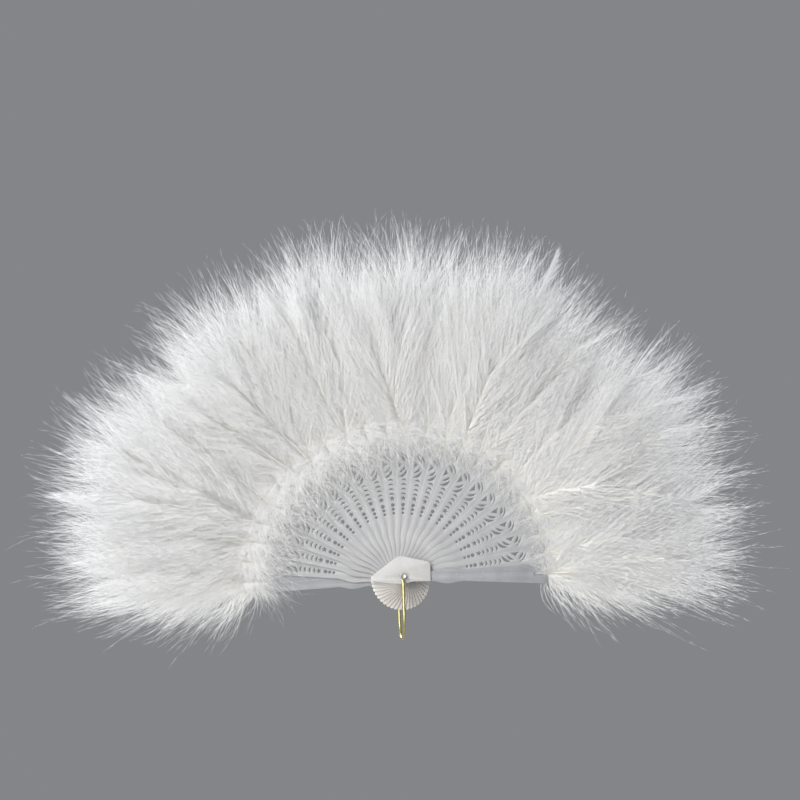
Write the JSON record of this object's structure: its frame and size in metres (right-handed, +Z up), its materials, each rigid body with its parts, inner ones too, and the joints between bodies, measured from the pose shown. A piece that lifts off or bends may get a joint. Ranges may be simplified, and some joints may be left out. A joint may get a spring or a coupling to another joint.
{
  "type": "folding feather fan",
  "caption": "Folding hand fan: pierced white plastic staves between two guards on one rivet, a white marabou plume at each tip, and a brass hanging loop.",
  "frame": {"origin": "middle of the pivot rivet, at mid-thickness of the stack of sticks, where a hand holds the fan", "axes": "+Z up along the middle of the open fan, +X along the front guard, +Y from the front of the fan to its back along the pivot"},
  "size_m": [0.504, 0.0396, 0.2944],
  "materials": {
    "white_plastic": "satin",
    "cream_plastic": "satin",
    "feather": "matte",
    "brass": "polished",
    "rivet_metal": "polished"
  },
  "bodies": {
    "rear_stick": {"rear_guard": "white_plastic", "rear_guard_plume": "feather", "pivot_rivet": "rivet_metal"},
    "front_stick": {"front_guard": "white_plastic", "front_guard_plume": "feather", "head_plate": "cream_plastic"},
    "stick_01": {"stave_01": "white_plastic", "plume_01": "feather"},
    "stick_02": {"stave_02": "white_plastic", "plume_02": "feather"},
    "stick_03": {"stave_03": "white_plastic", "plume_03": "feather"},
    "stick_04": {"stave_04": "white_plastic", "plume_04": "feather"},
    "stick_05": {"stave_05": "white_plastic", "plume_05": "feather"},
    "stick_06": {"stave_06": "white_plastic", "plume_06": "feather"},
    "stick_07": {"stave_07": "white_plastic", "plume_07": "feather"},
    "stick_08": {"stave_08": "white_plastic", "plume_08": "feather"},
    "stick_09": {"stave_09": "white_plastic", "plume_09": "feather"},
    "stick_10": {"stave_10": "white_plastic", "plume_10": "feather"},
    "stick_11": {"stave_11": "white_plastic", "plume_11": "feather"},
    "stick_12": {"stave_12": "white_plastic", "plume_12": "feather"},
    "stick_13": {"stave_13": "white_plastic", "plume_13": "feather"},
    "stick_14": {"stave_14": "white_plastic", "plume_14": "feather"},
    "stick_15": {"stave_15": "white_plastic", "plume_15": "feather"},
    "stick_16": {"stave_16": "white_plastic", "plume_16": "feather"},
    "stick_17": {"stave_17": "white_plastic", "plume_17": "feather"},
    "stick_18": {"stave_18": "white_plastic", "plume_18": "feather"},
    "stick_19": {"stave_19": "white_plastic", "plume_19": "feather"},
    "stick_20": {"stave_20": "white_plastic", "plume_20": "feather"},
    "stick_21": {"stave_21": "white_plastic", "plume_21": "feather"},
    "stick_22": {"stave_22": "white_plastic", "plume_22": "feather"},
    "loop": {"hanging_loop": "brass"}
  },
  "joints": [
    {"name": "fan_fold", "type": "hinge", "parent": "rear_stick", "child": "front_stick", "pos_m": [0, 0, 0], "axis": [0, -1, 0], "range_deg": [0, 180]},
    {"name": "stave_01_fold", "type": "hinge", "parent": "rear_stick", "child": "stick_01", "pos_m": [0, 0, 0], "axis": [0, -1, 0], "range_deg": [0, 172.17]},
    {"name": "stave_02_fold", "type": "hinge", "parent": "rear_stick", "child": "stick_02", "pos_m": [0, 0, 0], "axis": [0, -1, 0], "range_deg": [0, 164.35]},
    {"name": "stave_03_fold", "type": "hinge", "parent": "rear_stick", "child": "stick_03", "pos_m": [0, 0, 0], "axis": [0, -1, 0], "range_deg": [0, 156.52]},
    {"name": "stave_04_fold", "type": "hinge", "parent": "rear_stick", "child": "stick_04", "pos_m": [0, 0, 0], "axis": [0, -1, 0], "range_deg": [0, 148.7]},
    {"name": "stave_05_fold", "type": "hinge", "parent": "rear_stick", "child": "stick_05", "pos_m": [0, 0, 0], "axis": [0, -1, 0], "range_deg": [0, 140.87]},
    {"name": "stave_06_fold", "type": "hinge", "parent": "rear_stick", "child": "stick_06", "pos_m": [0, 0, 0], "axis": [0, -1, 0], "range_deg": [0, 133.04]},
    {"name": "stave_07_fold", "type": "hinge", "parent": "rear_stick", "child": "stick_07", "pos_m": [0, 0, 0], "axis": [0, -1, 0], "range_deg": [0, 125.22]},
    {"name": "stave_08_fold", "type": "hinge", "parent": "rear_stick", "child": "stick_08", "pos_m": [0, 0, 0], "axis": [0, -1, 0], "range_deg": [0, 117.39]},
    {"name": "stave_09_fold", "type": "hinge", "parent": "rear_stick", "child": "stick_09", "pos_m": [0, 0, 0], "axis": [0, -1, 0], "range_deg": [0, 109.57]},
    {"name": "stave_10_fold", "type": "hinge", "parent": "rear_stick", "child": "stick_10", "pos_m": [0, 0, 0], "axis": [0, -1, 0], "range_deg": [0, 101.74]},
    {"name": "stave_11_fold", "type": "hinge", "parent": "rear_stick", "child": "stick_11", "pos_m": [0, 0, 0], "axis": [0, -1, 0], "range_deg": [0, 93.91]},
    {"name": "stave_12_fold", "type": "hinge", "parent": "rear_stick", "child": "stick_12", "pos_m": [0, 0, 0], "axis": [0, -1, 0], "range_deg": [0, 86.09]},
    {"name": "stave_13_fold", "type": "hinge", "parent": "rear_stick", "child": "stick_13", "pos_m": [0, 0, 0], "axis": [0, -1, 0], "range_deg": [0, 78.26]},
    {"name": "stave_14_fold", "type": "hinge", "parent": "rear_stick", "child": "stick_14", "pos_m": [0, 0, 0], "axis": [0, -1, 0], "range_deg": [0, 70.43]},
    {"name": "stave_15_fold", "type": "hinge", "parent": "rear_stick", "child": "stick_15", "pos_m": [0, 0, 0], "axis": [0, -1, 0], "range_deg": [0, 62.61]},
    {"name": "stave_16_fold", "type": "hinge", "parent": "rear_stick", "child": "stick_16", "pos_m": [0, 0, 0], "axis": [0, -1, 0], "range_deg": [0, 54.78]},
    {"name": "stave_17_fold", "type": "hinge", "parent": "rear_stick", "child": "stick_17", "pos_m": [0, 0, 0], "axis": [0, -1, 0], "range_deg": [0, 46.96]},
    {"name": "stave_18_fold", "type": "hinge", "parent": "rear_stick", "child": "stick_18", "pos_m": [0, 0, 0], "axis": [0, -1, 0], "range_deg": [0, 39.13]},
    {"name": "stave_19_fold", "type": "hinge", "parent": "rear_stick", "child": "stick_19", "pos_m": [0, 0, 0], "axis": [0, -1, 0], "range_deg": [0, 31.3]},
    {"name": "stave_20_fold", "type": "hinge", "parent": "rear_stick", "child": "stick_20", "pos_m": [0, 0, 0], "axis": [0, -1, 0], "range_deg": [0, 23.48]},
    {"name": "stave_21_fold", "type": "hinge", "parent": "rear_stick", "child": "stick_21", "pos_m": [0, 0, 0], "axis": [0, -1, 0], "range_deg": [0, 15.65]},
    {"name": "stave_22_fold", "type": "hinge", "parent": "rear_stick", "child": "stick_22", "pos_m": [0, 0, 0], "axis": [0, -1, 0], "range_deg": [0, 7.83]},
    {"name": "loop_swing", "type": "hinge", "parent": "rear_stick", "child": "loop", "pos_m": [0, 0, 0], "axis": [0, 1, 0], "range_deg": [-75, 75]}
  ],
  "couplings": [
    {"joint": "stave_01_fold", "follows": "fan_fold", "ratio": 0.95652},
    {"joint": "stave_02_fold", "follows": "fan_fold", "ratio": 0.91304},
    {"joint": "stave_03_fold", "follows": "fan_fold", "ratio": 0.86957},
    {"joint": "stave_04_fold", "follows": "fan_fold", "ratio": 0.82609},
    {"joint": "stave_05_fold", "follows": "fan_fold", "ratio": 0.78261},
    {"joint": "stave_06_fold", "follows": "fan_fold", "ratio": 0.73913},
    {"joint": "stave_07_fold", "follows": "fan_fold", "ratio": 0.69565},
    {"joint": "stave_08_fold", "follows": "fan_fold", "ratio": 0.65217},
    {"joint": "stave_09_fold", "follows": "fan_fold", "ratio": 0.6087},
    {"joint": "stave_10_fold", "follows": "fan_fold", "ratio": 0.56522},
    {"joint": "stave_11_fold", "follows": "fan_fold", "ratio": 0.52174},
    {"joint": "stave_12_fold", "follows": "fan_fold", "ratio": 0.47826},
    {"joint": "stave_13_fold", "follows": "fan_fold", "ratio": 0.43478},
    {"joint": "stave_14_fold", "follows": "fan_fold", "ratio": 0.3913},
    {"joint": "stave_15_fold", "follows": "fan_fold", "ratio": 0.34783},
    {"joint": "stave_16_fold", "follows": "fan_fold", "ratio": 0.30435},
    {"joint": "stave_17_fold", "follows": "fan_fold", "ratio": 0.26087},
    {"joint": "stave_18_fold", "follows": "fan_fold", "ratio": 0.21739},
    {"joint": "stave_19_fold", "follows": "fan_fold", "ratio": 0.17391},
    {"joint": "stave_20_fold", "follows": "fan_fold", "ratio": 0.13043},
    {"joint": "stave_21_fold", "follows": "fan_fold", "ratio": 0.086957},
    {"joint": "stave_22_fold", "follows": "fan_fold", "ratio": 0.043478}
  ]
}
